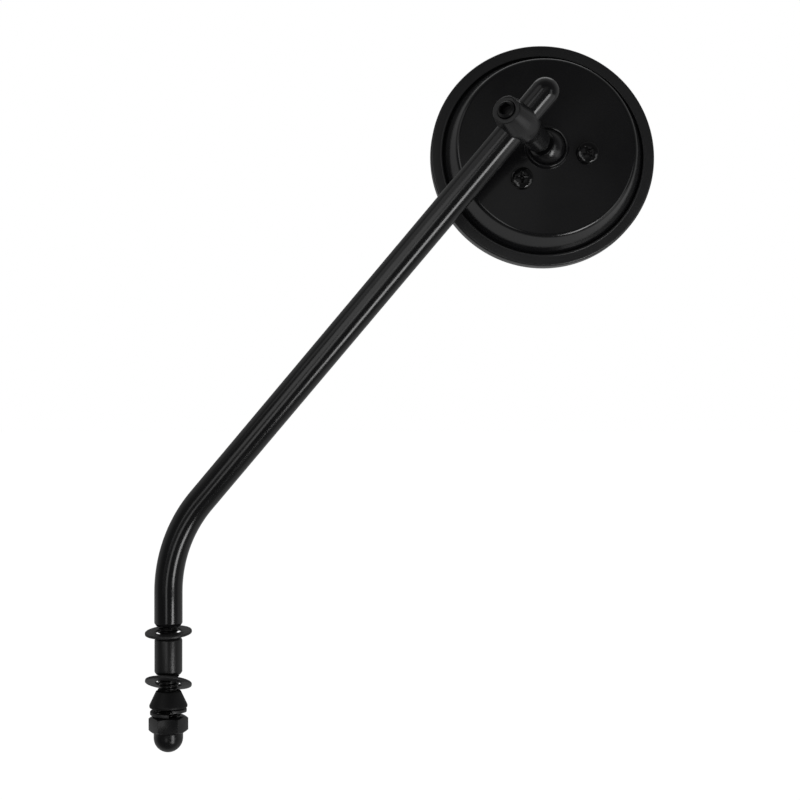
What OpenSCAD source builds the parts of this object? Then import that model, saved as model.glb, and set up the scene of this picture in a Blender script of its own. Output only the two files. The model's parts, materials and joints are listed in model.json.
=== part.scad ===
// Round motorcycle mirror on a bent stem, seen in use from the rider's side as a convex glass.
// The stem stands on its threaded stud: the origin is where the stud meets the stem's shoulder,
// +Z runs up the stud, the stem bends towards +X, and the back of the head looks towards -Y.

/* [Stem] */
// Diameter of the bent rod
stem_d = 10.5; // [8:0.25:14]
// Height from the shoulder to the corner that the two straight legs would make
riser_h = 32.2; // [26:0.2:60]
// Angle of the upper leg from upright
bend_angle = 41.25; // [20:0.05:60]
// Radius of the bend at the rod's centre line
bend_r = 52; // [30:1:60]
// Length of the upper leg, from the corner to the tip of its dome
arm_len = 218.8; // [150:0.2:320]
// Bevel at the shoulder, along the rod
shoulder_bevel = 1.3; // [0.4:0.1:1.6]

/* [Stud and its hardware] */
// Diameter of the threaded stud
stud_d = 7.94; // [6:0.02:8]
// Length of the stud's thread inside the domed nut
nut_grip = 10.2; // [8:0.1:10.4]
// Outside diameter of the flat washers
washer_d = 17.4; // [15:0.1:22]
// Thickness of the flat washers
washer_t = 1; // [0.8:0.1:1.2]
// Hole in the flat washers
washer_hole_d = 9.7; // [9.5:0.05:10.4]
// Middle of the upper washer below the shoulder
upper_washer_drop = 2.3; // [2.2:0.1:2.6]
// Lean of the upper washer, its front edge down
upper_washer_lean = 7; // [0:0.5:8]
// Outside diameter of the spacer sleeve
spacer_d = 10.3; // [9.6:0.1:11]
// Length of the spacer sleeve
spacer_len = 13.9; // [12:0.1:14]
// Room between the upper washer's middle and the sleeve
spacer_gap = 1.75; // [1.7:0.05:1.9]
// Room between the sleeve and the lower washer's middle
lower_washer_gap = 3.1; // [3.1:0.05:3.4]
// Lean of the lower washer, its front edge up
lower_washer_lean = 24.5; // [0:0.5:25]
// Room between the lower washer's middle and the cone bush
cone_gap = 2.95; // [2.9:0.05:3.1]
// Height of the cone bush
cone_h = 6.3; // [5:0.1:6.5]
// Diameter of the cone bush at its narrow end
cone_top_d = 9.4; // [9.2:0.1:11]
// Diameter of the cone bush at its wide end
cone_d = 13.6; // [12.5:0.1:16]
// Outside diameter of the split lock washer
lock_d = 13.6; // [12.8:0.1:15]
// Thickness of the lock washer's wire
lock_t = 1.2; // [1:0.1:1.6]
// Rise of the lock washer from one end of its wire to the other
lock_rise = 1.5; // [0.6:0.1:1.8]
// Acorn nut across its flats
nut_af = 12.7; // [12:0.1:15]
// Height of the acorn nut's hexagon
nut_h = 6.4; // [5:0.1:8]
// Diameter of the acorn nut's dome
dome_d = 10.9; // [10.5:0.1:12]
// Height of the acorn nut's dome
dome_h = 7.2; // [6.6:0.1:9]

/* [Clamp] */
// Distance from the stem's tip back to the clamp
clamp_from_tip = 18.95; // [14:0.05:80]
// Turn of the clamp about the stem, from straight back
clamp_turn = -20; // [-25:0.5:-18]
// Diameter of the clamp's collar
collar_d = 14.2; // [13.4:0.1:18]
// Length of the collar's straight band
collar_band = 6; // [4:0.1:8]
// Width of the collar between the two flats that the stem passes through
collar_across = 12.2; // [11.8:0.1:12.8]
// Lean of the two flats towards the tip
flat_lean = 10; // [6:0.5:11]
// Diameter of the post below the collar
post_d = 9.2; // [8.4:0.1:10.4]
// Distance from the stem's centre line to the ball's centre
post_len = 25.2; // [22:0.1:30]
// Distance from the stem's centre line to the clamp's tip
tip_len = 11.6; // [9.5:0.1:14]
// Diameter of the clamp's tip
tip_d = 10.5; // [9.4:0.1:12]
// Diameter of the set screw
set_screw_d = 6.35; // [5:0.05:7]
// Hexagon socket of the set screw across its flats
socket_af = 4; // [2.5:0.1:4.1]
// Height of the set screw above the clamp's tip
set_screw_proud = 1.3; // [0:0.1:3]

/* [Ball joint] */
// Diameter of the ball
ball_d = 14; // [13:0.1:15]
// Diameter of the ball's flat shoulder
ball_flat_d = 10; // [8:0.1:10.6]
// Diameter of the ball stud's threaded neck
neck_d = 6; // [5:0.1:6.4]
// Room between the ball and what holds it
ball_room = 0.15; // [0.1:0.01:0.2]
// Angle of the shell's opening from the head's axis, seen from the ball's centre
opening_angle = 68.5; // [67:0.5:74]
// Wall of the nylon seat under the ball
seat_t = 1.2; // [1:0.1:1.6]

/* [Head] */
// Diameter of the head over its bezel
head_d = 84; // [76:0.2:120]
// Turn of the head about the upright
head_yaw = 14.7; // [12:0.2:18]
// Lift of the head's back above level
head_pitch = 5.2; // [2:0.5:8]
// Height of the shell's flat back above the bezel
dish_h = 11.7; // [11:0.1:16]
// Width of the shell's sloping side, from its flat back out to its foot
side_run = 3.85; // [3:0.05:6]
// Rounding of the flat back's edge
plateau_round = 1.4; // [0.6:0.1:2]
// Thickness of the shell's sheet
shell_t = 1; // [0.8:0.1:1.2]
// Depth of the bezel from back to front
bezel_h = 6.6; // [6:0.1:9]
// Width of the bezel's back face
bezel_w = 3.9; // [3.4:0.1:5]
// Thickness of the bezel's sheet
bezel_t = 0.9; // [0.7:0.1:1.1]
// Thickness of the convex glass
glass_t = 2; // [1.8:0.1:2.2]
// Radius of the glass's convex face
glass_bulge_r = 1000; // [600:50:1400]
// Distance of the three plate screws from the ball's axis
screw_r = 15.1; // [14.5:0.1:17]
// Turn of the first plate screw about the head's axis
screw_turn = -8.5; // [-30:1:30]
// Diameter of the plate screws' heads
screw_head_d = 8.1; // [7:0.1:8.4]
// Height of the plate screws' heads
screw_head_h = 2.7; // [2:0.1:3]
// Diameter of the plate screws' threads
screw_d = 4; // [3:0.1:4.2]
// Thickness of the plate that holds the ball
plate_t = 2; // [1.6:0.1:2.4]
// Depth of the plate's upper face below the ball's centre
plate_drop = 3.9; // [3.6:0.1:4.2]

/* [Hidden] */
$fn = 72;

black = "#1b1b1c";
dark = "#101011";
rubber = "#242424";
nylon = "#d9d7cf";
silver = "#c4ccd2";

thread_gap = 0.06;   // room between a thread and its hole, with the thread itself left out
slide_gap = 0.05;    // room between the stem and the clamp's cross bore
seat_gap = 0.15;     // room between pieces that lie against each other in the head
eps = 0.02;          // how far a cutter runs past the face it cuts
round_fn = 120;      // facets of the head's wide rings

stem_r = stem_d / 2;
stud_r = stud_d / 2;
shoulder_r = stud_r + 0.35;   // the rod's end face, wider than the stud by its bevel's rest

// Where the bend starts and ends, measured from the corner of the two legs
bend_reach = bend_r * tan(bend_angle / 2);
stem_dir = [sin(bend_angle), 0, cos(bend_angle)];

// Heights of the loose hardware below the shoulder
upper_washer_z = -upper_washer_drop;
spacer_top = upper_washer_z - spacer_gap;
spacer_bottom = spacer_top - spacer_len;
lower_washer_z = spacer_bottom - lower_washer_gap;
cone_top = lower_washer_z - cone_gap;
cone_bottom = cone_top - cone_h;
lock_top = cone_bottom - seat_gap;
nut_top = lock_top - lock_t - lock_rise - seat_gap;
sleeve_hole_r = stud_r + 0.2;
stud_len = nut_grip - nut_top;   // the stud ends inside the nut
washer_roll = [-0.5, -2.8];   // sideways roll of the upper and the lower washer

// The clamp sits on the upper leg and carries the ball on its post
clamp_at = arm_len - clamp_from_tip;
clamp_pos = [0, 0, riser_h] + clamp_at * stem_dir;
post_dir = [sin(clamp_turn) * cos(bend_angle), -cos(clamp_turn), -sin(clamp_turn) * sin(bend_angle)];
ball_pos = clamp_pos - post_len * post_dir;
collar_top = stem_r * 0.66;   // the cone starts beside the upper part of the stem
collar_bottom = collar_top - collar_band;
post_taper = 6.5;             // length over which the collar narrows to the post
post_end_r = 1;               // rounding of the post's lower end
post_end = ball_d / 2;        // distance from the ball's centre to the post
thread_len = 9;               // ball stud's thread inside the post

// The head is drawn with the ball's centre at its origin and its back towards +Z
ball_r = ball_d / 2;
socket_r = ball_r + ball_room;
ball_below_back = 1.3;                   // the ball's centre lies this far under the flat back
bezel_z = ball_below_back - dish_h;      // the bezel's back face
head_r = head_d / 2;
bezel_in_r = head_r - bezel_w;
wall_room = 0.95;                        // from the bezel's inner edge to the shell's side
wall_foot_r = bezel_in_r - wall_room;    // where the shell's side meets its flange
plateau_r = wall_foot_r - side_run;
flange_r = head_r - bezel_t - seat_gap;
flange_z = bezel_z - bezel_t - seat_gap; // the flange's back face lies under the bezel
seal_w = 1.1;                            // room for the seal round the glass's edge
glass_r = head_r - bezel_t - seal_w;
glass_front = bezel_z - bezel_h + bezel_t + seat_gap;
foam_t = (flange_z - shell_t) - (glass_front + glass_t);
seat_r = socket_r + seat_t;
pocket_r = seat_r + ball_room;
seat_top = -2.8;
seat_bottom = 0.5 - ball_r;
plate_edge = screw_d / 2 + 3;            // the plate's metal outside the screws' circle

// An arc of points about a centre, from one angle to another
function arc(c, r, a, b, n = 8) = [for (i = [0 : n]) c + r * [cos(a + (b - a) * i / n), sin(a + (b - a) * i / n)]];

module at_upper_leg() {
    translate([0, 0, riser_h])
        rotate([0, bend_angle, 0])
            children();
}

// The clamp's own frame: +Z out of its tip, +Y along the stem
module at_clamp() {
    at_upper_leg()
        translate([0, 0, clamp_at])
            rotate([0, 0, clamp_turn])
                rotate([90, 0, 0])
                    children();
}

module at_ball_on_post() {
    at_clamp()
        translate([0, 0, -post_len])
            children();
}

// The head's own frame: +Z out of its back, the ball's centre at its origin
module at_head() {
    translate(ball_pos)
        rotate([0, 0, head_yaw])
            rotate([90 - head_pitch, 0, 0])
                children();
}

module at_screw(i) {
    at_head()
        rotate([0, 0, screw_turn - 120 * i])
            translate([screw_r, 0, ball_below_back])
                children();
}

// The rod with its domed tip, its bend and the stud turned on its lower end
module stem() {
    straight_low = riser_h - bend_reach;
    straight_high = arm_len - stem_r - bend_reach;
    bend_lap = 0.15;   // degrees by which the bend runs into each leg
    bend_step = 0.02;  // how much thinner the bend is, so that it ends inside the legs
    stud_bevel = 1;
    color(black) {
        translate([0, 0, shoulder_bevel]) cylinder(r = stem_r, h = straight_low - shoulder_bevel);
        cylinder(r1 = shoulder_r, r2 = stem_r, h = shoulder_bevel);
        translate([bend_r, 0, straight_low])
            rotate([90, 0, 0])
                rotate([0, 0, 180 - bend_angle - bend_lap])
                    rotate_extrude(angle = bend_angle + 2 * bend_lap)
                        translate([bend_r, 0]) circle(r = stem_r - bend_step);
        at_upper_leg() {
            translate([0, 0, bend_reach]) cylinder(r = stem_r, h = straight_high);
            translate([0, 0, bend_reach + straight_high]) sphere(r = stem_r);
        }
        translate([0, 0, stud_bevel - stud_len]) cylinder(r = stud_r, h = stud_len - stud_bevel);
        translate([0, 0, -stud_len]) cylinder(r1 = stud_r - 0.8 * stud_bevel, r2 = stud_r, h = stud_bevel);
    }
}

module flat_washer(z, lean, roll) {
    color(dark)
        translate([0, 0, z])
            rotate([lean, roll, 0])
                difference() {
                    cylinder(d = washer_d, h = washer_t, center = true);
                    cylinder(d = washer_hole_d, h = washer_t + 2 * eps, center = true);
                }
}

module spacer_sleeve() {
    bevel = 0.75;
    bevel_len = 1.3 * bevel;
    r = spacer_d / 2;
    color(black)
        translate([0, 0, spacer_bottom])
            difference() {
                rotate_extrude()
                    polygon([
                        [0, 0], [r - bevel, 0], [r, bevel_len],
                        [r, spacer_len - bevel_len], [r - bevel, spacer_len], [0, spacer_len]
                    ]);
                translate([0, 0, -eps]) cylinder(r = sleeve_hole_r, h = spacer_len + 2 * eps);
            }
}

// A bush with a bulging cone, which centres the stud in a larger hole
module cone_bush() {
    top_r = cone_top_d / 2;
    wide_r = cone_d / 2;
    edge = 0.7;
    top_edge = 0.3;
    side_h = cone_h - edge - top_edge;
    side_d = wide_r - top_r;
    side_r = (pow(side_h, 2) + pow(side_d, 2)) / (2 * side_d);
    color(rubber)
        translate([0, 0, cone_bottom])
            difference() {
                rotate_extrude()
                    polygon(concat(
                        [[0, 0], [wide_r - edge, 0]],
                        arc([wide_r - edge, edge], edge, -80, 0, 4),
                        arc([wide_r - side_r, edge], side_r, 3, asin(side_h / side_r), 6),
                        [[top_r - top_edge, cone_h], [0, cone_h]]
                    ));
                translate([0, 0, -eps]) cylinder(r = sleeve_hole_r, h = cone_h + 2 * eps);
            }
}

// One turn of square wire, sprung apart at its cut
module lock_washer() {
    in_r = stud_r + 0.35;
    out_r = lock_d / 2;
    cut = 12;      // degrees that the cut takes out of the turn
    first = -62;   // where the cut is, from +X
    n = 40;        // steps round the turn
    corners = [[in_r, 0], [out_r, 0], [out_r, lock_t], [in_r, lock_t]];
    points = [
        for (i = [0 : n], c = corners)
            let (a = first + cut / 2 + (360 - cut) * i / n)
                [c[0] * cos(a), c[0] * sin(a), c[1] + lock_rise * (1 - i / n)]
    ];
    sides = [
        for (i = [0 : n - 1], k = [0 : 3])
            [4 * i + k, 4 * (i + 1) + k, 4 * (i + 1) + (k + 1) % 4, 4 * i + (k + 1) % 4]
    ];
    color(dark)
        translate([0, 0, lock_top - lock_t - lock_rise])
            polyhedron(points = points, faces = concat([[0, 1, 2, 3]], sides, [[4 * n + 3, 4 * n + 2, 4 * n + 1, 4 * n]]));
}

module acorn_nut() {
    corner_r = nut_af / 2 / cos(30);
    chamfer = corner_r - nut_af / 2;
    dome_r = dome_d / 2;
    hex_turn = 19;
    lead_in = 0.8;    // bevel at the thread's mouth
    hole_end = 0.6;   // depth of the hole beyond the stud
    color(black)
        translate([0, 0, nut_top])
            mirror([0, 0, 1])
                difference() {
                    union() {
                        intersection() {
                            rotate([0, 0, hex_turn]) cylinder(r = corner_r, h = nut_h, $fn = 6);
                            union() {
                                cylinder(r1 = corner_r - 1.7 * chamfer, r2 = corner_r + eps, h = chamfer);
                                translate([0, 0, chamfer])
                                    cylinder(r = corner_r + eps, h = nut_h - 2.2 * chamfer);
                                translate([0, 0, nut_h - 1.2 * chamfer])
                                    cylinder(r1 = corner_r + eps, r2 = dome_r + 0.1, h = 1.2 * chamfer);
                            }
                        }
                        translate([0, 0, nut_h / 2]) cylinder(r = dome_r, h = nut_h / 2 + dome_h - dome_r);
                        translate([0, 0, nut_h + dome_h - dome_r]) sphere(r = dome_r);
                    }
                    translate([0, 0, -eps]) cylinder(r = stud_r + thread_gap, h = nut_grip + hole_end);
                    translate([0, 0, -eps]) cylinder(r1 = stud_r + lead_in, r2 = stud_r, h = lead_in);
                }
}

// The cast post: a cone and collar round the stem, and a round bar down to the ball
module clamp_post() {
    post_r = post_d / 2;
    collar_r = collar_d / 2;
    tip_r = tip_d / 2;
    tip_edge = 0.25;
    mouth = 0.5;       // depth of the bevel at the set screw's hole
    drill_end = 1;     // depth of the neck's hole beyond its thread
    low = post_end - post_len;
    color(black)
        at_clamp()
            difference() {
                rotate_extrude()
                    polygon(concat(
                        [[0, low]],
                        arc([post_r - post_end_r, low + post_end_r], post_end_r, -90, 0, 4),
                        [
                            [post_r, collar_bottom - post_taper], [collar_r, collar_bottom],
                            [collar_r, collar_top], [tip_r, tip_len - tip_edge],
                            [tip_r - tip_edge, tip_len], [0, tip_len]
                        ]
                    ));
                for (side = [0, 1])
                    mirror([0, side, 0])
                        translate([0, collar_across / 2, collar_top])
                            rotate([flat_lean, 0, 0])
                                translate([-collar_d, 0, -2 * collar_band])
                                    cube([2 * collar_d, collar_d, 2 * collar_band + tip_len]);
                rotate([90, 0, 0]) cylinder(r = stem_r + slide_gap, h = collar_d + 2 * eps, center = true);
                cylinder(r = set_screw_d / 2 + thread_gap, h = tip_len + eps);
                translate([0, 0, tip_len - mouth])
                    cylinder(r1 = set_screw_d / 2, r2 = set_screw_d / 2 + 0.7 * mouth, h = mouth + eps);
                translate([0, 0, low - eps])
                    cylinder(r = neck_d / 2 + thread_gap, h = thread_len + drill_end + eps);
            }
}

// The set screw bears on the stem and stands a little proud of the tip
module set_screw() {
    r = set_screw_d / 2;
    top = tip_len + set_screw_proud;
    foot = stem_r + slide_gap;
    bevel = 0.7;
    mouth = 0.35;
    socket_depth = 3;
    socket_turn = 10;
    socket_w = socket_af / cos(30);   // across its corners
    color(dark)
        at_clamp()
            difference() {
                rotate_extrude()
                    polygon([
                        [0, foot], [r - bevel, foot], [r, foot + bevel],
                        [r, top - bevel], [r - bevel, top], [0, top]
                    ]);
                translate([0, 0, top - socket_depth])
                    rotate([0, 0, socket_turn])
                        cylinder(d = socket_w, h = socket_depth + eps, $fn = 6);
                translate([0, 0, top - mouth])
                    cylinder(d1 = socket_af, d2 = socket_w + 0.2, h = mouth + eps);
            }
}

// A ball with a flat shoulder, and the threaded neck that screws up into the post
module ball_stud() {
    flat_z = sqrt(pow(ball_r, 2) - pow(ball_flat_d / 2, 2));
    neck_r = neck_d / 2;
    end = post_end + thread_len;
    fillet = 0.8;
    bevel = 0.6;
    sunk = 0.3;    // the neck's foot starts this far inside the ball
    color(black)
        at_ball_on_post() {
            intersection() {
                sphere(r = ball_r);
                translate([0, 0, flat_z - 2 * ball_r]) cylinder(r = ball_r, h = 2 * ball_r);
            }
            rotate_extrude()
                polygon(concat(
                    [[0, 0], [neck_r + fillet, flat_z - sunk]],
                    arc([neck_r + fillet, flat_z + fillet], fillet, 270, 180, 4),
                    [[neck_r, end - bevel], [neck_r - bevel, end], [0, end]]
                ));
        }
}

// A nylon ring with round inner and outer faces, so that it can follow the ball or the head
module ball_seat() {
    color(nylon)
        at_head()
            intersection() {
                difference() {
                    sphere(r = seat_r);
                    sphere(r = socket_r);
                }
                translate([0, 0, seat_bottom]) cylinder(r = seat_r + 1, h = seat_top - seat_bottom);
            }
}

// Outline of the pressed shell at depth t in its sheet: the flat back, its rounded edge, the sloping
// side and the flange
function shell_outline(t) =
    let (
        back = ball_below_back - t,
        foot = flange_z - t,
        slope = atan2(ball_below_back - flange_z - plateau_round, side_run),
        edge_c = [plateau_r - plateau_round, ball_below_back - plateau_round],
        side_r = 0.6 + t
    )
    concat(
        [[0, back], [edge_c[0], back]],
        arc(edge_c, plateau_round - t * 0.8, 90, 90 - slope, 6),
        arc([wall_foot_r + side_r, foot + side_r], side_r, 270 - slope, 270, 5),
        [[flange_r, foot]]
    );

module back_shell() {
    cone_up = socket_r + shell_t + 1;
    hole_r = screw_d / 2 + 0.25;
    below = 5;   // how far the cutter reaches below the flange
    color(black)
        at_head()
            difference() {
                union() {
                    rotate_extrude($fn = round_fn)
                        difference() {
                            polygon(concat(shell_outline(0), [
                                [flange_r, flange_z - shell_t], [0, flange_z - shell_t]
                            ]));
                            polygon(concat(shell_outline(shell_t), [
                                [flange_r, flange_z - shell_t - below], [0, flange_z - shell_t - below]
                            ]));
                        }
                    intersection() {
                        sphere(r = socket_r + shell_t);
                        translate([0, 0, ball_below_back - shell_t]) cylinder(r = 2 * ball_r, h = ball_d);
                    }
                }
                sphere(r = socket_r);
                cylinder(r1 = 0, r2 = cone_up * tan(opening_angle), h = cone_up);
                for (i = [0 : 2])
                    rotate([0, 0, screw_turn - 120 * i])
                        translate([screw_r, 0, ball_below_back - 2 * shell_t])
                            cylinder(r = hole_r, h = 3 * shell_t);
            }
}

// A rolled channel that grips the shell's flange, the foam and the glass together
module bezel_ring() {
    back = bezel_z;
    front = bezel_z - bezel_h;
    bend = bezel_t + 0.1;
    edge = 0.3;            // rounding of the back face's inner edge
    lip_r = head_r - 3.1;  // inner edge of the lip round the glass
    color(black)
        at_head()
            rotate_extrude($fn = round_fn)
                polygon(concat(
                    [[bezel_in_r, back - bezel_t]],
                    arc([bezel_in_r + edge, back - edge], edge, 180, 90, 3),
                    arc([head_r - bend, back - bend], bend, 90, 0, 6),
                    arc([head_r - bend, front + bend], bend, 0, -90, 6),
                    arc([lip_r + bezel_t / 2, front + bezel_t / 2], bezel_t / 2, 270, 90, 6),
                    arc([head_r - bend, front + bend], bend - bezel_t, -90, 0, 4),
                    arc([head_r - bend, back - bend], bend - bezel_t, 0, 90, 4)
                ));
}

// Convex glass, silvered behind, with its front towards -Z
module mirror_glass() {
    sag = glass_bulge_r - sqrt(pow(glass_bulge_r, 2) - pow(glass_r, 2));
    steps = 10;
    front = [for (i = [0 : steps]) let (r = glass_r * i / steps)
        [r, glass_front - (sqrt(pow(glass_bulge_r, 2) - pow(r, 2)) - glass_bulge_r + sag)]];
    back = [for (i = [steps : -1 : 0]) [front[i][0], front[i][1] + glass_t]];
    color(silver)
        at_head()
            rotate_extrude($fn = round_fn)
                polygon(concat(front, back));
}

// Rubber ring between the edge of the glass and the bezel's wall
module glass_seal() {
    room = 0.1;    // to the bezel, and half of it to the glass
    above = 0.8;   // height of the seal over the glass
    h = glass_t + room + above;
    color(rubber)
        at_head()
            translate([0, 0, glass_front + room])
                difference() {
                    cylinder(r = head_r - bezel_t - room, h = h, $fn = round_fn);
                    translate([0, 0, -eps]) cylinder(r = glass_r + room / 2, h = h + 2 * eps, $fn = round_fn);
                }
}

// Foam ring that presses the glass forward against the bezel's lip
module foam_ring() {
    room = 0.05;
    h = foam_t - 2 * room;
    color("#3a3a3c")
        at_head()
            translate([0, 0, glass_front + glass_t + room])
                difference() {
                    cylinder(r = glass_r - 0.3, h = h, $fn = round_fn);
                    translate([0, 0, -eps]) cylinder(r = wall_foot_r - 2.2, h = h + 2 * eps, $fn = round_fn);
                }
}

// Round steel plate that the screws draw up against the ball's seat
module clamp_plate() {
    color("silver")
        at_head()
            difference() {
                translate([0, 0, -plate_drop - plate_t]) cylinder(r = screw_r + plate_edge, h = plate_t);
                sphere(r = pocket_r);
                for (i = [0 : 2])
                    rotate([0, 0, screw_turn - 120 * i])
                        translate([screw_r, 0, -plate_drop - plate_t - eps])
                            cylinder(r = screw_d / 2 + thread_gap, h = plate_t + 2 * eps);
            }
}

// Pan-head screw with a cross recess, its head on the shell and its thread in the plate
module plate_screw(i) {
    reach = ball_below_back + plate_drop + plate_t + 1;
    head_r = screw_head_d / 2;
    cross_w = 1;
    cross_l = 4.6;
    cross_depth = 1.3;
    crown = 0.9;      // rounding of the head's rim
    lift = 0.02;      // under the head, so that it rests on the shell
    bevel = 0.5;
    color(dark)
        at_screw(i)
            difference() {
                union() {
                    rotate_extrude()
                        polygon(concat(
                            [[0, lift], [head_r - 0.15, lift], [head_r, 0.3]],
                            arc([head_r - crown, screw_head_h - crown - 0.25], crown, 0, 60, 4),
                            [[head_r * 0.5, screw_head_h - 0.06], [0, screw_head_h]]
                        ));
                    translate([0, 0, bevel - reach]) cylinder(r = screw_d / 2, h = reach);
                    translate([0, 0, -reach]) cylinder(r1 = screw_d / 2 - bevel, r2 = screw_d / 2, h = bevel);
                }
                for (a = [0, 90])
                    rotate([0, 0, a + 38])
                        translate([0, 0, screw_head_h])
                            cube([cross_l, cross_w, 2 * cross_depth], center = true);
                translate([0, 0, screw_head_h - 1.9]) cylinder(d1 = cross_w, d2 = 2.4 * cross_w, h = 2);
            }
}

stem();
flat_washer(upper_washer_z, upper_washer_lean, washer_roll[0]);  // upper_washer
spacer_sleeve();
flat_washer(lower_washer_z, -lower_washer_lean, washer_roll[1]);  // lower_washer
cone_bush();
lock_washer();
acorn_nut();
clamp_post();
set_screw();
ball_stud();
ball_seat();
back_shell();
bezel_ring();
mirror_glass();
glass_seal();
foam_ring();
clamp_plate();
plate_screw(0);  // plate_screw_1
plate_screw(1);  // plate_screw_2
plate_screw(2);  // plate_screw_3
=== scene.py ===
# %% [markdown]
# # A round motorcycle mirror, dressed for the studio
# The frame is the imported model: a bent stem on a threaded stud, a clamp with a ball, and a round head. This
# lesson gives each piece the finish of the real one. Almost everything here is black, so the shapes are told
# by reflections alone, and the edges, the thread and the coats need more care than the colours do.

# %% Load the frame
import json
import math

import bmesh
import bpy
import numpy as np
from mathutils import Matrix, Vector


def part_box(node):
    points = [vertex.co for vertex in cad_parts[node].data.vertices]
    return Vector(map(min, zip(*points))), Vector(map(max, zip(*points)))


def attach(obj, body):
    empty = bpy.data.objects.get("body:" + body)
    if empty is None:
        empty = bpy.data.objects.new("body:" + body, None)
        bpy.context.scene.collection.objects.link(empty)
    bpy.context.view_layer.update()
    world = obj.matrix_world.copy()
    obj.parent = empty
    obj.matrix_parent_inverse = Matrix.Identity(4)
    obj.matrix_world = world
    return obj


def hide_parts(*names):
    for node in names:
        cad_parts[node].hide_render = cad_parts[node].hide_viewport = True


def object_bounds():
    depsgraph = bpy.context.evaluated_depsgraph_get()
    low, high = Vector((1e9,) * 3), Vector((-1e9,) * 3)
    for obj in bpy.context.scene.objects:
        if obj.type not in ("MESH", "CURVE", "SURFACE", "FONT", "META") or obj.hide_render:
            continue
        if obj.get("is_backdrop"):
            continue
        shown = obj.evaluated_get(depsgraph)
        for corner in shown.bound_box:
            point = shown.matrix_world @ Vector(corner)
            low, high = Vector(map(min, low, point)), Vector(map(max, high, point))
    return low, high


MM = 0.001


def in_mm(values):
    """Metres as rounded millimetres, for the printed lines."""
    return [round(v / MM, 2) for v in values]


def shown(values):
    """Plain numbers rounded for the printed lines."""
    return [round(float(v), 4) for v in values]


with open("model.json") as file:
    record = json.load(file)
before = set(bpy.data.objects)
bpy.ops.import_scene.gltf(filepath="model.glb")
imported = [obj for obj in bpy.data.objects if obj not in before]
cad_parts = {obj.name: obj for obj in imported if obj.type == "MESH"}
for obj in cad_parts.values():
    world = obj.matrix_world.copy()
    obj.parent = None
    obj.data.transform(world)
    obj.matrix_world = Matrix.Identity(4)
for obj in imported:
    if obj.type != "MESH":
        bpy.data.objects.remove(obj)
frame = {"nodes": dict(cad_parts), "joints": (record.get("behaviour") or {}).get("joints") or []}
cad_low, cad_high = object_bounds()
joints = {j["name"]: j for j in frame["joints"]}
print("CAD box in mm:", in_mm(cad_low), in_mm(cad_high))

# %% [markdown]
# ## The camera
# The photograph was taken from a little to the right of the mirror's back, with the camera level and about
# 590 mm away. That distance was found from how the round parts turn into ellipses, so it is kept exactly.

# %% Place the camera
VIEW_TURN = math.radians(12.81)
VIEW_RIGHT = Vector((math.cos(VIEW_TURN), math.sin(VIEW_TURN), 0))
VIEW_BACK = Vector((math.sin(VIEW_TURN), -math.cos(VIEW_TURN), 0))
CAMERA_RIGHT = 86.23    # mm to the right of the stud, seen from the camera
CAMERA_BACK = 590       # mm from the stud towards the viewer
CAMERA_UP = 84.15       # mm above the stud's shoulder
SENSOR = 36             # mm
FOCAL_PX = 1584.5       # the lens's focal length in the photograph's pixels
PHOTO_PX = 800
CAMERA_AT = (CAMERA_RIGHT * VIEW_RIGHT + CAMERA_BACK * VIEW_BACK + Vector((0, 0, CAMERA_UP))) * MM
camera_data = bpy.data.cameras.new("camera")
camera_data.sensor_width = SENSOR
camera_data.lens = FOCAL_PX / PHOTO_PX * SENSOR
camera_data.clip_start = 0.01
camera = bpy.data.objects.new("camera", camera_data)
camera.location = CAMERA_AT
camera.rotation_euler = (math.radians(90), 0, VIEW_TURN)
bpy.context.scene.collection.objects.link(camera)
bpy.context.scene.camera = camera
bpy.context.scene.view_settings.view_transform = "Standard"
print("camera at", shown(CAMERA_AT), "lens", round(camera_data.lens, 2))

# %% [markdown]
# ## Where the pieces turn
# The ball and the head are tilted in space. Each gets a frame of its own, worked out from the joints and from
# the pieces themselves, so that a profile can be drawn upright and then set in place.

# %% Measure the solids in a frame
def frame_of(origin, z_axis, x_hint):
    """A matrix in mm whose Z runs along z_axis and whose X lies close to x_hint."""
    z = Vector(z_axis).normalized()
    x = (Vector(x_hint) - Vector(x_hint).dot(z) * z).normalized()
    turn = Matrix((x, z.cross(x), z)).transposed().to_4x4()
    return Matrix.Translation(Vector(origin)) @ turn


def points_of(node):
    """A CAD node's points in mm."""
    return np.array([v.co for v in frame["nodes"][node].data.vertices], float) / MM


def points_in(node, place):
    """A CAD node's points in mm, as a frame sees them."""
    q = points_of(node)
    return np.c_[q, np.ones(len(q))] @ np.array(place.inverted()).T


def size_in(node, place):
    """Smallest and largest radius, and lowest and highest point, of a node about a frame's Z."""
    q = points_in(node, place)
    r = np.hypot(q[:, 0], q[:, 1])
    return r.min(), r.max(), q[:, 2].min(), q[:, 2].max()


def thin_axis(node, towards):
    """The direction in which a flat round piece is thinnest."""
    q = np.unique(points_of(node).round(4), axis=0)
    axis = Vector(np.linalg.svd(q - q.mean(0), full_matrices=False)[2][2])
    return axis if axis.dot(Vector(towards)) > 0 else -axis


print("stud and stem in mm:", in_mm(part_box("stem")[0]), in_mm(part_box("stem")[1]))

# %% Frames for the ball and the head
STEM_DIR = Vector(joints["clamp_turn"]["axis"])
CLAMP_AT = Vector(joints["clamp_turn"]["pos_m"]) / MM
POST_DIR = Vector(joints["ball_spin"]["axis"])
BALL_AT = Vector(joints["ball_spin"]["pos_m"]) / MM
HEAD_DIR = thin_axis("mirror_glass", (0, -1, 0))
upright = Matrix.Identity(4)
ball_frame = frame_of(BALL_AT, POST_DIR, STEM_DIR.cross(POST_DIR))
head_frame = frame_of(BALL_AT, HEAD_DIR, Vector((0, 0, 1)).cross(HEAD_DIR))
print("head axis", shown(HEAD_DIR), "post axis", shown(POST_DIR))

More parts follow.
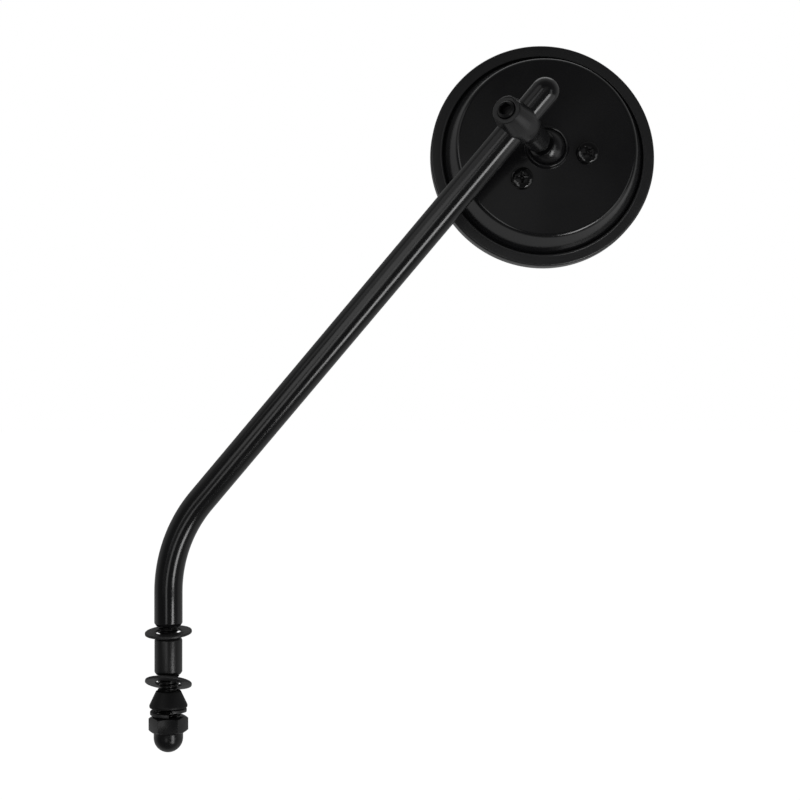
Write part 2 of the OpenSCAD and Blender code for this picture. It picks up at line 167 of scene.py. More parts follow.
# %% [markdown]
# ## The studio
# A black object on white shows whatever stands around it. A lamp low on the right draws the bright streak of
# the leaning leg, and a weaker one level with the mirror draws it on the upright leg, because each leg
# mirrors another part of the room. A strip and a soft panel on the left give the paler bands beside the
# streak. A broad lamp above left and two weak fills lift the head's flat back, a small card lights the
# clamp's face, and a wash from behind adds to the pale line along the edges. The rest of the room stays dim,
# or the black would turn grey. The floor is seen as white, with a share of plain diffuse that keeps a shadow.

# %% Colours and a node helper
def linear(hex_code):
    """An sRGB hex colour as a linear RGBA value."""
    def one(c):
        return c / 12.92 if c <= 0.04045 else ((c + 0.055) / 1.055) ** 2.4
    h = hex_code.lstrip("#")
    return tuple(one(int(h[i:i + 2], 16) / 255) for i in (0, 2, 4)) + (1.0,)


def add(tree, kind, links=(), **settings):
    """Adds a node, sets its sockets and properties by name, and links (socket, from_socket) pairs."""
    node = tree.nodes.new(kind)
    for key, value in settings.items():
        socket = node.inputs.get(key.replace("_", " "))
        if socket is not None:
            socket.default_value = value
        else:
            setattr(node, key, value)
    for name, source in links:
        tree.links.new(node.inputs[name], source)
    return node


def is_seen(tree, path):
    """A socket that is 1 for what the camera sees, also through glass, and 0 for other rays."""
    rays = [(0, path.outputs["Is Camera Ray"]), (1, path.outputs["Is Transmission Ray"])]
    return add(tree, "ShaderNodeMath", rays, operation="MAXIMUM").outputs[0]


print("the powder coat's black in linear light:", shown(linear("#0c0c0d")))

# %% The room that the black mirrors
ROOM = (    # cosine of the angle away from the backdrop's middle, and how bright the mirrored room is there
    (-0.7, 0.055),
    (-0.3, 0.10),
    (0.0, 0.22),
    (0.24, 0.32),
    (0.5, 0.30),
    (0.9, 0.20),
    (0.995, 0.23),
)
ROOM_LIGHT = 0.45    # the even light that the room gives to dull surfaces
world = bpy.data.worlds.new("studio")
bpy.context.scene.world = world
world.use_nodes = True
tree = world.node_tree
tree.nodes.clear()
path = add(tree, "ShaderNodeLightPath")
look = add(tree, "ShaderNodeTexCoord")
behind = add(tree, "ShaderNodeVectorMath", [(0, look.outputs["Generated"])], operation="DOT_PRODUCT")
behind.inputs[1].default_value = -VIEW_BACK
half = add(tree, "ShaderNodeMapRange", [("Value", behind.outputs["Value"])],
           From_Min=-1.0, From_Max=1.0, To_Min=0.0, To_Max=1.0)
room = add(tree, "ShaderNodeValToRGB", [("Fac", half.outputs["Result"])])
stops = room.color_ramp.elements
for cosine, value in ROOM:
    stops.new((cosine + 1) / 2).color = (value, value, value, 1)
stops.remove(stops[0])
stops.remove(stops[len(stops) - 1])
mirrored = [("Factor", path.outputs["Is Glossy Ray"]), ("B", room.outputs["Color"])]
unseen = add(tree, "ShaderNodeMix", mirrored, A=ROOM_LIGHT)
level = add(tree, "ShaderNodeMix", [("Factor", is_seen(tree, path)), ("A", unseen.outputs["Result"])], B=1.0)
sky = add(tree, "ShaderNodeBackground", [("Strength", level.outputs["Result"])], Color=(1, 1, 1, 1))
add(tree, "ShaderNodeOutputWorld", [("Surface", sky.outputs[0])])
print("room in", len(stops), "steps")

# %% Set up the lamps
MIDDLE = Vector(((cad_low[0] + cad_high[0]) / 2, 0, (cad_low[2] + cad_high[2]) / 2))


def panel_lamp(name, side, up, distance, width, height, radiance, around=MIDDLE):
    """A rectangular lamp, placed by its angles to the camera's right (side) and above a point (up)."""
    a = math.radians(side)
    e = math.radians(up)
    away = (VIEW_BACK * math.cos(a) + VIEW_RIGHT * math.sin(a)) * math.cos(e) + Vector((0, 0, math.sin(e)))
    data = bpy.data.lights.new(name, "AREA")
    data.shape = "RECTANGLE"
    data.size = width
    data.size_y = height
    data.energy = radiance * math.pi * width * height
    lamp = bpy.data.objects.new(name, data)
    lamp.visible_camera = False
    lamp.location = around + away * distance
    lamp.rotation_euler = away.to_track_quat("Z", "Y").to_euler()
    bpy.context.scene.collection.objects.link(lamp)


panel_lamp("strip_right_low", 41, -31, 0.8, 0.20, 0.44, 7.0)        # the leaning leg's bright streak
panel_lamp("strip_right_high", 48, 0, 1.0, 0.24, 0.50, 1.0)         # the same streak on the upright leg
panel_lamp("strip_left", -11, -12, 2.0, 0.38, 1.00, 1.55)           # the band left of the streak
panel_lamp("soft_left", -30, 9, 2.0, 0.95, 0.95, 1.1)               # the paler band at the left edge
panel_lamp("broad_above_left", -54, 34, 1.1, 0.7, 0.5, 0.45)        # soft light on upper edges
panel_lamp("fill_front", 7, 19, 2.0, 1.10, 0.90, 0.10)              # lifts the upper part of the flat back
panel_lamp("fill_low", -2, 9, 1.9, 0.75, 0.75, 0.09)                # lifts its lower part
panel_lamp("clamp_card", 72, -30, 0.16, 0.13, 0.085, 0.62, around=CLAMP_AT * MM)
panel_lamp("backdrop_wash", 180, 52, 1.4, 1.2, 0.6, 0.6)            # from behind, along the edges

# %% Lay the floor
FLOOR_DROP = 0.045    # m under the nut's tip
FLOOR_HALF = 4.0      # m; the floor ends under the mirror, so that the low lamps shine past its front edge
PAPER_LIT = 0.12      # the share of the seen white that light and shadow change
PAPER_GLOW = 0.96
PAPER_GREY = 0.72     # what the paper sends back to the mirror
floor_z = cad_low[2] - FLOOR_DROP
floor_mesh = bpy.data.meshes.new("floor")
bm = bmesh.new()
turned_to_camera = Matrix.Rotation(VIEW_TURN, 4, "Z")
bmesh.ops.create_grid(bm, x_segments=1, y_segments=1, size=FLOOR_HALF, matrix=turned_to_camera)
bmesh.ops.translate(bm, verts=bm.verts, vec=Vector((0, 0, floor_z)) - FLOOR_HALF * VIEW_BACK)
bm.to_mesh(floor_mesh)
bm.free()
floor = bpy.data.objects.new("floor", floor_mesh)
bpy.context.scene.collection.objects.link(floor)
floor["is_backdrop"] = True
paper = bpy.data.materials.new("studio_paper")
paper.use_nodes = True
tree = paper.node_tree
tree.nodes.clear()
path = add(tree, "ShaderNodeLightPath")
lit = add(tree, "ShaderNodeBsdfDiffuse", Color=(PAPER_LIT, PAPER_LIT, PAPER_LIT, 1))
glow = add(tree, "ShaderNodeEmission", Color=(1, 1, 1, 1), Strength=PAPER_GLOW)
both = add(tree, "ShaderNodeAddShader", [(0, lit.outputs[0]), (1, glow.outputs[0])])
plain = add(tree, "ShaderNodeBsdfDiffuse", Color=(PAPER_GREY, PAPER_GREY, PAPER_GREY, 1))
choice = [("Fac", is_seen(tree, path)), (1, plain.outputs[0]), (2, both.outputs[0])]
paper_mix = add(tree, "ShaderNodeMixShader", choice)
add(tree, "ShaderNodeOutputMaterial", [("Surface", paper_mix.outputs[0])])
floor_mesh.materials.append(paper)
print("floor at", round(floor_z / MM, 1), "mm")

# %% [markdown]
# ## Finishes
# Black coats differ in how sharply they mirror the lamps and in their grain. Each material is named for the
# real coat. Patterns are laid out in the object's own millimetres, and those finer than a pixel are drawn a
# little coarser so that they still break up the highlights.

# %% One builder for the coats
CLOUD_MM = 9.0    # size of the slow clouds in a coat's gloss and colour
CLOUD_LOW = 0.3
CLOUD_HIGH = 0.7


def noise(tree, where, size_mm, detail, roughness):
    """A noise whose features are about size_mm wide on the piece itself."""
    return add(tree, "ShaderNodeTexNoise", [("Vector", where.outputs["Object"])],
               Scale=1000 / size_mm, Detail=detail, Roughness=roughness)


def coat(name, colour, cloud, roughness, grain_mm, grain_height_mm, spread=0.04, metallic=0.0, **sockets):
    """A surface with a fine grain in its height, and slow clouds in its gloss and from colour to cloud."""
    material = bpy.data.materials.new(name)
    material.use_nodes = True
    tree = material.node_tree
    tree.nodes.clear()
    where = add(tree, "ShaderNodeTexCoord")
    slow = noise(tree, where, CLOUD_MM, 3.0, 0.6)
    fine = noise(tree, where, grain_mm, 2.0, 0.5)
    gloss = add(tree, "ShaderNodeMapRange", [("Value", slow.outputs["Fac"])], From_Min=CLOUD_LOW,
                From_Max=CLOUD_HIGH, To_Min=roughness - spread, To_Max=roughness + spread)
    tint = add(tree, "ShaderNodeMix", [("Factor", slow.outputs["Fac"])], data_type="RGBA")
    tint.inputs[6].default_value = linear(colour)
    tint.inputs[7].default_value = linear(cloud)
    bump = add(tree, "ShaderNodeBump", [("Height", fine.outputs["Fac"])],
               Strength=1.0, Distance=grain_height_mm * MM)
    surface = [("Base Color", tint.outputs[2]), ("Roughness", gloss.outputs["Result"]),
               ("Normal", bump.outputs["Normal"])]
    shader = add(tree, "ShaderNodeBsdfPrincipled", surface, Metallic=metallic, **sockets)
    add(tree, "ShaderNodeOutputMaterial", [("Surface", shader.outputs[0])])
    return material


# %% The black coats
# Powder coat on a steel rod, baked smooth: a satin gloss with a faint orange peel
powder_coat = coat("powder_coat_satin", "#0c0c0d", "#0f0f10", 0.18, 1.3, 0.0015, 0.02, IOR=1.5)
# The same coat on the turned sleeve, a little flatter
sleeve_coat = coat("sleeve_coat_satin", "#111112", "#141414", 0.33, 0.9, 0.005, IOR=1.5)
# Paint over a cast post: the casting's skin shows through as soft dimples
casting_paint = coat("painted_casting", "#121213", "#161617", 0.27, 0.6, 0.002, 0.03, IOR=1.5)
# Spray paint on pressed sheet steel: even and satin
sheet_paint = coat("sprayed_sheet_satin", "#0b0b0c", "#111112", 0.16, 0.9, 0.0010, 0.015, IOR=1.5)
# Fine texture coat on the rolled ring: grit of about 0.3 mm, drawn at 0.45 mm to show
texture_coat = coat("fine_texture_coat", "#171718", "#1c1c1d", 0.32, 0.45, 0.012, 0.05, IOR=1.5)
# Black oxide on stamped washers: dull and slightly mottled
black_oxide = coat("black_oxide_steel", "#151516", "#1d1d1e", 0.48, 0.5, 0.008, 0.07, IOR=1.5)
# Black plating on the domed nut: glossy over the forging
black_plating = coat("black_plated_nut", "#0b0b0c", "#111112", 0.28, 0.7, 0.006, 0.07, IOR=1.42)
# Black zinc on small screws
screw_black = coat("black_zinc_screw", "#040404", "#070708", 0.12, 0.5, 0.001, 0.02, IOR=1.6)
# Black oxide on cut threads and on the set screw: dark and oily
thread_black = coat("oiled_black_thread", "#060607", "#0a0a0b", 0.34, 0.4, 0.002, 0.05, IOR=1.38)
# Polished ball under black plating
ball_black = coat("polished_black_ball", "#0c0c0d", "#101011", 0.24, 0.6, 0.001, 0.03, IOR=1.5)
# Moulded rubber: dull, with a powdery bloom
bush_rubber = coat("moulded_rubber", "#0a0a0b", "#0f0f10", 0.50, 0.35, 0.006, 0.06, IOR=1.5,
                   Specular_IOR_Level=0.25)
print(len(bpy.data.materials), "materials so far")

# %% The finishes inside the head, and the glass
# Natural nylon, waxy and slightly see-through in life
nylon = coat("natural_nylon", "#d8d5ca", "#dedbd1", 0.42, 1.5, 0.004, 0.05, IOR=1.53)
# Closed-cell foam: matt, with cells of about half a millimetre
foam = coat("closed_cell_foam", "#2b2b2d", "#333335", 0.9, 0.5, 0.08, 0.04, IOR=1.45)
# Zinc-plated steel plate
zinc_plate = coat("zinc_plated_steel", "#a9abad", "#b9bbbd", 0.36, 0.6, 0.004, 0.08, metallic=1.0)
# Silver behind clean glass: a mirror with the slightest haze
silvered_glass = coat("silvered_convex_glass", "#e3e8e8", "#e6ebeb", 0.02, 4.0, 0.0, 0.008, metallic=1.0)
print(len(bpy.data.materials), "materials")

# %% [markdown]
# ## Tools for turned pieces
# Nearly every piece was turned or pressed round an axis. A turned piece is a profile swept once round its
# axis, and its sharp rims get a small rounding, because a real edge always catches a thin line of light.

# %% Finish a piece
MERGE = 1e-4    # mm; points closer than this are one


def finish_piece(bm, name, material, body, replaces=(), place=upright, smooth=32):
    """Moves a bmesh from a frame in mm to the row frame in metres and makes it a riding piece."""
    bmesh.ops.remove_doubles(bm, verts=bm.verts, dist=MERGE)
    bmesh.ops.recalc_face_normals(bm, faces=bm.faces)
    bmesh.ops.transform(bm, matrix=Matrix.Scale(MM, 4) @ place, verts=bm.verts)
    mesh = bpy.data.meshes.new(name)
    bm.to_mesh(mesh)
    bm.free()
    mesh.shade_smooth()
    mesh.set_sharp_from_angle(angle=math.radians(smooth))
    mesh.materials.append(material)
    piece = bpy.data.objects.new(name, mesh)
    bpy.context.scene.collection.objects.link(piece)
    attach(piece, body)
    if replaces:
        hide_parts(*replaces)
    print(name, len(mesh.polygons), "faces")


# %% Turn a profile and round its rims
TURN_STEPS = 128    # steps round a small piece
HEAD_STEPS = 256    # steps round the head, whose wide curves show every facet
RIM_NEAR = 2e-3     # mm; how close to a profile's point its rim is looked for


def rounded(bm, geom, rounding, segments, affect="EDGES"):
    """Rounds edges, or the corners of a flat section."""
    bmesh.ops.bevel(bm, geom=geom, offset=rounding, offset_type="OFFSET", segments=segments, profile=0.5,
                    affect=affect, material=-1, clamp_overlap=True)


def on_rim(edge, r, z):
    """Whether an edge lies on the circle of radius r at height z."""
    return all(abs(math.hypot(v.co.x, v.co.y) - r) < RIM_NEAR and abs(v.co.z - z) < RIM_NEAR
               for v in edge.verts)


def turned(profile, steps=TURN_STEPS):
    """A bmesh turned from (radius, height) or (radius, height, rounding) points in mm. A profile that
    starts on the axis stays open, and any other is closed into a ring."""
    bm = bmesh.new()
    verts = [bm.verts.new((r, 0, z)) for r, z, *_ in profile]
    pairs = list(zip(verts, verts[1:]))
    if profile[0][0] > 0:
        pairs.append((verts[-1], verts[0]))
    edges = [bm.edges.new(p) for p in pairs]
    bmesh.ops.spin(bm, geom=verts + edges, cent=(0, 0, 0), axis=(0, 0, 1), angle=math.tau, steps=steps,
                   use_merge=True)
    bmesh.ops.remove_doubles(bm, verts=bm.verts, dist=MERGE)
    bmesh.ops.recalc_face_normals(bm, faces=bm.faces)
    for r, z, *rounding in profile:
        if rounding:
            rounded(bm, [e for e in bm.edges if on_rim(e, r, z)], rounding[0], 4)
    return bm


print("a full turn has", TURN_STEPS, "steps, and the head's", HEAD_STEPS)

# %% Cut a thread
THREAD_DEPTH = 0.6134    # depth of a 60 degree thread, in pitches
THREAD_STEPS = 48        # steps in a turn


def helix(profile, pitch, turns):
    """A bmesh swept round Z while it climbs: profile is (radius, height) points in mm."""
    bm = bmesh.new()
    verts = [bm.verts.new((r, 0, z)) for r, z in profile]
    edges = [bm.edges.new(p) for p in zip(verts, verts[1:])]
    bmesh.ops.spin(bm, geom=verts + edges, cent=(0, 0, 0), axis=(0, 0, 1), dvec=(0, 0, pitch / THREAD_STEPS),
                   angle=math.tau * turns, steps=THREAD_STEPS * turns, use_merge=False)
    bmesh.ops.remove_doubles(bm, verts=bm.verts, dist=MERGE)
    return bm


def thread(crest, pitch, low, high):
    """A thread of 60 degrees between two heights, cut square and closed at both ends."""
    root = crest - THREAD_DEPTH * pitch
    flat = pitch / 8
    profile = [(root, 0), (root, 2 * flat), (crest, 4.5 * flat), (crest, 5.5 * flat), (root, pitch)]
    bm = helix(profile, pitch, math.ceil((high - low) / pitch) + 2)
    bmesh.ops.translate(bm, verts=bm.verts, vec=(0, 0, low - pitch))
    for height, up in ((low, -1), (high, 1)):
        cut = bmesh.ops.bisect_plane(bm, geom=bm.verts[:] + bm.edges[:] + bm.faces[:], dist=1e-5,
                                     plane_co=(0, 0, height), plane_no=(0, 0, up), clear_outer=True)
        rim = [e for e in cut["geom_cut"] if isinstance(e, bmesh.types.BMEdge)]
        bmesh.ops.edgeloop_fill(bm, edges=rim)
    return bm


print("a thread has", THREAD_STEPS, "steps in a turn")

# %% Soften a solid
def softened(node, rounding, angle=28):
    """A merged copy of a CAD node's mesh in mm, with the edges sharper than an angle rounded."""
    bm = bmesh.new()
    bm.from_mesh(frame["nodes"][node].data)
    bmesh.ops.scale(bm, vec=(1 / MM,) * 3, verts=bm.verts)
    bmesh.ops.remove_doubles(bm, verts=bm.verts, dist=10 * MERGE)
    bmesh.ops.dissolve_limit(bm, angle_limit=math.radians(0.6), verts=bm.verts, edges=bm.edges)
    sharp = [e for e in bm.edges if len(e.link_faces) == 2 and e.calc_face_angle(0) > math.radians(angle)]
    rounded(bm, sharp, rounding, 2)
    print(node, len(sharp), "sharp edges")
    return bm


# %% [markdown]
# ## The stem
# The real stem is one steel rod: turned down and threaded at its foot, bent cold, domed at its tip and powder
# coated. A loop of points is drawn up the rod: extruded along the lower leg, spun round the bend's centre,
# extruded along the upper leg and closed by shrinking rings. This keeps the streaks clean through the bend.

# %% Measure the rod
BEND_R = 52.0          # mm, of the rod's centre line
STUD_TOP = -2          # mm; the solid's points below this belong to the stud
stem_points = points_of("stem")
stud_points = stem_points[stem_points[:, 2] < STUD_TOP]
stud_r = float(np.hypot(stud_points[:, 0], stud_points[:, 1]).max())
stud_low = float(stud_points[:, 2].min())
rod_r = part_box("stem")[1].y / MM
corner_z = CLAMP_AT.z - CLAMP_AT.x / STEM_DIR.x * STEM_DIR.z
bend = math.acos(STEM_DIR.z)
reach = BEND_R * math.tan(bend / 2)
tip_at = float(((stem_points - np.array([0, 0, corner_z])) @ np.array(STEM_DIR)).max())
print("rod", round(rod_r, 2), "stud", round(stud_r, 2), "legs meet at", round(corner_z, 2),
      "bend", round(math.degrees(bend), 2), "tip", round(tip_at, 2))

# %% Sweep the rod
ROD_SIDES = 96
BEND_STEPS = 28
DOME_RINGS = 16
SHOULDER_ROOM = 0.35    # mm; the rod's end face is this much wider than the stud
SHOULDER = ((0.30, 0.286), (0.92, 1.118), (1.0, 1.43))    # share of the widening, and height in mm


def verts_of(edges):
    """The points of a loop of edges."""
    return list({v for e in edges for v in e.verts})


def draw_on(bm, edges, matrix):
    """Extrudes a loop of edges and moves the new loop; returns the new loop's edges."""
    grown = bmesh.ops.extrude_edge_only(bm, edges=edges)["geom"]
    fresh = [g for g in grown if isinstance(g, bmesh.types.BMVert)]
    bmesh.ops.transform(bm, matrix=matrix, verts=fresh)
    return [g for g in grown if isinstance(g, bmesh.types.BMEdge) and all(v in fresh for v in g.verts)]


bm = bmesh.new()
end_r = stud_r + SHOULDER_ROOM
bmesh.ops.create_circle(bm, cap_ends=True, segments=ROD_SIDES, radius=end_r)
loop = bm.edges[:]
ring_r = end_r
ring_z = 0.0
for share, height in SHOULDER:
    wider = (end_r + share * (rod_r - end_r)) / ring_r
    step = Matrix.Translation((0, 0, height - ring_z)) @ Matrix.Diagonal((wider, wider, 1, 1))
    loop = draw_on(bm, loop, step)
    ring_r *= wider
    ring_z = height
loop = draw_on(bm, loop, Matrix.Translation((0, 0, corner_z - reach - ring_z)))
spun = bmesh.ops.spin(bm, geom=verts_of(loop) + loop, cent=(BEND_R, 0, corner_z - reach), axis=(0, 1, 0),
                      angle=bend, steps=BEND_STEPS, use_merge=False)
loop = [g for g in spun["geom_last"] if isinstance(g, bmesh.types.BMEdge)]
loop = draw_on(bm, loop, Matrix.Translation(STEM_DIR * (tip_at - rod_r - reach)))

# The dome: rings that shrink towards the tip, in a frame at the dome's centre
centre = Vector((0, 0, corner_z)) + STEM_DIR * (tip_at - rod_r)
dome = frame_of(centre, STEM_DIR, (0, 1, 0))
for i in range(1, DOME_RINGS):
    a = math.radians(90 * (i - 1) / DOME_RINGS)
    b = math.radians(90 * i / DOME_RINGS)
    shrink = math.cos(b) / math.cos(a)
    rise = rod_r * (math.sin(b) - math.sin(a))
    step = Matrix.Translation((0, 0, rise)) @ Matrix.Diagonal((shrink, shrink, 1, 1))
    loop = draw_on(bm, loop, dome @ step @ dome.inverted())
loop = draw_on(bm, loop, Matrix.Identity(4))
bmesh.ops.pointmerge(bm, verts=verts_of(loop), merge_co=centre + STEM_DIR * rod_r)
finish_piece(bm, "stem_rod", powder_coat, "arm", ["stem"], smooth=40)

# %% [markdown]
# ## The stud's thread
# A five-sixteenths stud has 18 threads to the inch. One pitch of the profile is swept round the stud while it
# climbs by a pitch a turn, which gives the true helix, and a plane cuts both ends square.

# %% Thread the stud
INCH = 25.4
STUD_PITCH = INCH / 18
bm = thread(stud_r, STUD_PITCH, stud_low + 0.05, 0.3)
finish_piece(bm, "stud_thread", thread_black, "arm", smooth=20)

# %% [markdown]
# ## The loose hardware on the stud
# Washers are stamped, so their rims are slightly rounded. They lie askew on the stud, as loose washers do,
# and each is turned about its own tilted axis. The sleeve and the bush are turned upright. The bush's side
# runs straight from a low band at its foot to its narrow end.

# %% Washers
for node in ("upper_washer", "lower_washer"):
    low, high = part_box(node)
    place = frame_of((Vector(low) + Vector(high)) / 2 / MM, thin_axis(node, (0, 0, 1)), (1, 0, 0))
    inner, outer, bottom, top = size_in(node, place)
    ring = turned([(inner, bottom, 0.12), (outer, bottom, 0.22), (outer, top, 0.34), (inner, top, 0.12)])
    finish_piece(ring, node + "_stamped", black_oxide, "arm", [node], place)

# %% Sleeve and bush
BEVEL = 0.75              # mm, how far the sleeve's bevelled ends step in
BEVEL_H = 1.3 * BEVEL
inner, outer, bottom, top = size_in("spacer_sleeve", upright)
sleeve = turned([
    (inner, bottom, 0.1), (outer - BEVEL, bottom, 0.15), (outer, bottom + BEVEL_H, 0.3),
    (outer, top - BEVEL_H, 0.3), (outer - BEVEL, top, 0.15), (inner, top, 0.1),
])
finish_piece(sleeve, "sleeve_turned", sleeve_coat, "arm", ["spacer_sleeve"])

NARROW_R = 4.7            # mm, the bush's narrow end
BAND = 0.9                # mm, the height of the band at its foot
inner, outer, bottom, top = size_in("cone_bush", upright)
foot = outer + 0.3
bush = turned([
    (inner, bottom, 0.1), (foot - 0.15, bottom, 0.3), (foot, bottom + BAND, 0.3),
    (NARROW_R, top - 0.3, 0.1), (NARROW_R - 0.25, top, 0.1), (inner, top, 0.1),
])
finish_piece(bush, "bush_moulded", bush_rubber, "arm", ["cone_bush"], smooth=50)

# %% [markdown]
# ## The split lock washer
# It is a single turn of square wire, sprung apart at the cut. The wire's section is spun while it sinks from
# its high end to its low one. The first section closes one end, and the last loop is filled for the other.

# %% Spin the wire
WIRE = 1.2                       # mm, the wire's height
WIRE_STEPS = 96
WIRE_TURN = math.radians(348)
inner, outer, bottom, top = size_in("lock_washer", upright)
rise = (top - bottom) - WIRE
q = points_of("lock_washer")
high_end = q[q[:, 2].argmax()]
bm = bmesh.new()
section = [bm.verts.new((r, 0, z)) for r, z in ((inner, 0), (outer, 0), (outer, WIRE), (inner, WIRE))]
bm.faces.new(section)
rounded(bm, section, 0.22, 3, affect="VERTICES")
copied = bmesh.ops.duplicate(bm, geom=bm.faces[:])
moving = [g for g in copied["geom"] if isinstance(g, bmesh.types.BMFace)]
outline = list({e for f in moving for e in f.edges})
spun = bmesh.ops.spin(bm, geom=verts_of(outline) + outline, cent=(0, 0, 0), axis=(0, 0, 1),
                      dvec=(0, 0, -rise / WIRE_STEPS), angle=WIRE_TURN, steps=WIRE_STEPS, use_merge=False)
bmesh.ops.delete(bm, geom=moving, context="FACES_ONLY")
last = [g for g in spun["geom_last"] if isinstance(g, bmesh.types.BMEdge)]
bmesh.ops.edgeloop_fill(bm, edges=last)
to_cut = Matrix.Rotation(math.atan2(high_end[1], high_end[0]), 3, "Z")
bmesh.ops.rotate(bm, verts=bm.verts, cent=(0, 0, 0), matrix=to_cut)
bmesh.ops.translate(bm, verts=bm.verts, vec=(0, 0, bottom + rise))
finish_piece(bm, "lock_washer_sprung", black_oxide, "arm", ["lock_washer"], smooth=30)

# %% [markdown]
# ## The domed nut, the clamp's post and the screws
# These are shaped by flats, bores and sockets that the CAD solids already have. A merged copy of each solid
# keeps the shape, and a bevel on its sharp edges gives it the worn rounding of a real casting or forging. The
# post's flats meet its cone at a shallow angle, so its edges count as sharp from 18 degrees.

# %% Soften the solids
nut = softened("acorn_nut", 0.14)
finish_piece(nut, "nut_domed", black_plating, "arm", ["acorn_nut"], smooth=28)
post = softened("clamp_post", 0.14, angle=18)
finish_piece(post, "post_cast", casting_paint, "clamp", ["clamp_post"], smooth=20)
set_screw = softened("set_screw", 0.08)
finish_piece(set_screw, "set_screw_socket", thread_black, "clamp", ["set_screw"], smooth=28)
for node in ("plate_screw_1", "plate_screw_2", "plate_screw_3"):
    screw = softened(node, 0.07)
    finish_piece(screw, node + "_cross", screw_black, "head", [node], smooth=28)

# %% [markdown]
# ## The ball and its threaded neck
# The ball is ground with a flat shoulder, and its neck screws up into the post. Part of the thread shows
# between the two.

# %% Turn the ball
FLAT_R = 5.0         # mm, the flat on the ball
NECK_R = 3.0
NECK_CORE = NECK_R - 0.35
NECK_PITCH = 1.0
ARC_STEPS = 40
ball_points = points_in("ball_stud", ball_frame)
ball_r = -float(ball_points[:, 2].min())
neck_top = float(ball_points[:, 2].max())
flat_z = math.sqrt(ball_r ** 2 - FLAT_R ** 2)
quarter = math.pi / 2
sweep = math.asin(flat_z / ball_r) + quarter
arc = [(0.0, -ball_r)]
for k in range(1, ARC_STEPS):
    a = sweep * k / ARC_STEPS - quarter
    arc.append((ball_r * math.cos(a), ball_r * math.sin(a)))
ball = turned(arc + [
    (FLAT_R, flat_z, 0.25), (NECK_R + 0.1, flat_z, 0.3), (NECK_CORE, flat_z + 0.8),
    (NECK_CORE, flat_z + 3), (0.0, flat_z + 3),
])
finish_piece(ball, "ball_ground", ball_black, "ball", ["ball_stud"], ball_frame, smooth=30)
bm = thread(NECK_R, NECK_PITCH, flat_z + 0.9, neck_top - 0.05)
finish_piece(bm, "neck_thread", thread_black, "ball", (), ball_frame, smooth=20)

# %% [markdown]
# ## The head
# The back is pressed from sheet: a flat plateau with a rounded edge, a steep side and a flange. A rolled ring
# grips the flange and the glass, and its inner edge carries a small raised bead. Both are turned from their
# profiles, with more steps than the CAD's mesh has, because their wide curves mirror the studio.

# %% Press the shell
BACK_Z = 1.3                        # mm from the ball's centre out to the flat back
SIDE_RUN = 3.85                     # mm, how far the side leans outwards
SHEET = 1.0                         # mm, the sheet's thickness
INSET = 0.9                         # mm, how far the sheet's inner bends lie inside its outer ones
OPENING = math.radians(68.5)        # from the socket's axis to its rim
socket_r = ball_r + 0.15
_, shell_out, shell_low, _ = size_in("back_shell", head_frame)
bezel_in, bezel_out, bezel_low, bezel_high = size_in("bezel_ring", head_frame)
foot_z = shell_low + SHEET
foot_r = bezel_in - 0.95
plateau_r = foot_r - SIDE_RUN
lip_in = (socket_r * math.sin(OPENING), socket_r * math.cos(OPENING))
lip_out = ((socket_r + SHEET) * math.sin(OPENING), (socket_r + SHEET) * math.cos(OPENING))
collar_r = math.sqrt((socket_r + SHEET) ** 2 - BACK_Z ** 2)
under_r = math.sqrt(socket_r ** 2 - (BACK_Z - SHEET) ** 2)
shell = turned([
    (*lip_in, 0.15), (*lip_out, 0.45), (collar_r + 0.1, BACK_Z, 0.15), (plateau_r, BACK_Z, 1.25),
    (foot_r, foot_z, 0.5), (shell_out, foot_z, 0.2), (shell_out, shell_low, 0.2),
    (foot_r - INSET, shell_low, 0.7), (plateau_r - INSET, BACK_Z - SHEET, 0.7),
    (under_r, BACK_Z - SHEET, 0.1),
], HEAD_STEPS)
finish_piece(shell, "shell_pressed", sheet_paint, "head", ["back_shell"], head_frame,
             smooth=40)

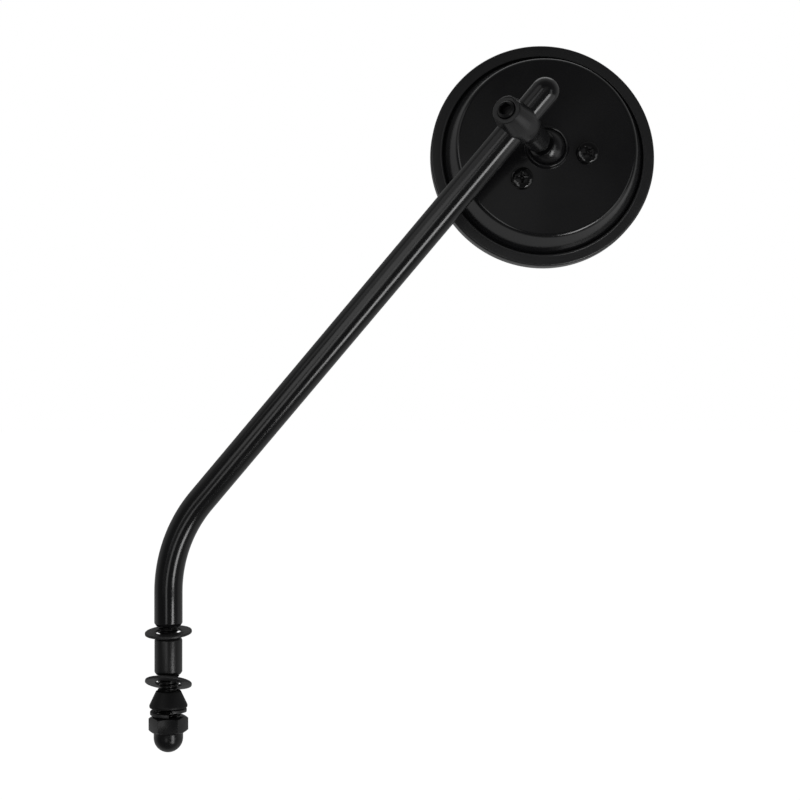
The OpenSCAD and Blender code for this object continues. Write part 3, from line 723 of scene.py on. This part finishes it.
# %% Roll the bezel
BEZEL_T = 0.9      # mm, the ring's thickness
ROLL = 0.45        # mm, how far the rolled lip reaches in past the solid's
BEAD_W = 0.75      # mm, the bead on the lip
BEAD_H = 0.22
bead_low = bezel_high - BEAD_H
lip_r = bezel_in - ROLL
bead_r = lip_r + BEAD_W
front_r = bezel_out - 3.1
bezel = turned([
    (lip_r, bezel_high - BEZEL_T, 0.15), (lip_r, bezel_high, 0.3), (bead_r, bezel_high, 0.3),
    (bead_r + 0.12, bead_low, 0.08), (bezel_out, bead_low, 0.75), (bezel_out, bezel_low, 0.95),
    (front_r, bezel_low, 0.4), (front_r, bezel_low + BEZEL_T, 0.4),
    (bezel_out - BEZEL_T, bezel_low + BEZEL_T, 0.1), (bezel_out - BEZEL_T, bezel_high - BEZEL_T, 0.1),
], HEAD_STEPS)
finish_piece(bezel, "bezel_rolled", texture_coat, "head", ["bezel_ring"], head_frame,
             smooth=40)

# %% Grind the glass
BULGE_R = 1000.0    # mm, the radius that the glass bulges with
RINGS = 12
_, glass_r, glass_low, glass_high = size_in("mirror_glass", head_frame)


def bulge(r):
    """How far the glass has sunk from its crown at a radius."""
    return BULGE_R - math.sqrt(BULGE_R ** 2 - r ** 2)


thickness = glass_high - glass_low - bulge(glass_r)
crown = [(glass_r * k / RINGS, glass_low + bulge(glass_r * k / RINGS)) for k in range(RINGS + 1)]
silver = [(r, z + thickness) for r, z in reversed(crown)]
glass = turned(crown[:-1] + [(*crown[-1], 0.25), (*silver[0], 0.2)] + silver[1:], HEAD_STEPS)
finish_piece(glass, "glass_convex", silvered_glass, "head", ["mirror_glass"], head_frame,
             smooth=40)

# %% [markdown]
# ## The hidden pieces
# The seal, the foam, the plate and the ball's nylon seat are inside the head. They keep their CAD shapes and
# get their own finishes, so that the model still holds together when it is taken apart.

# %% Finishes for the CAD nodes that stay
HIDDEN = {"glass_seal": bush_rubber, "foam_ring": foam, "clamp_plate": zinc_plate, "ball_seat": nylon}
for node, material in HIDDEN.items():
    slots = frame["nodes"][node].data.materials
    for i in range(len(slots)):
        slots[i] = material
    if not len(slots):
        slots.append(material)
    print(node, "->", material.name)

# %% Print how far the pieces grew
new_low, new_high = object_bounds()
print("grown by mm:", in_mm(a - b for a, b in zip(cad_low, new_low)),
      in_mm(b - a for a, b in zip(cad_high, new_high)))
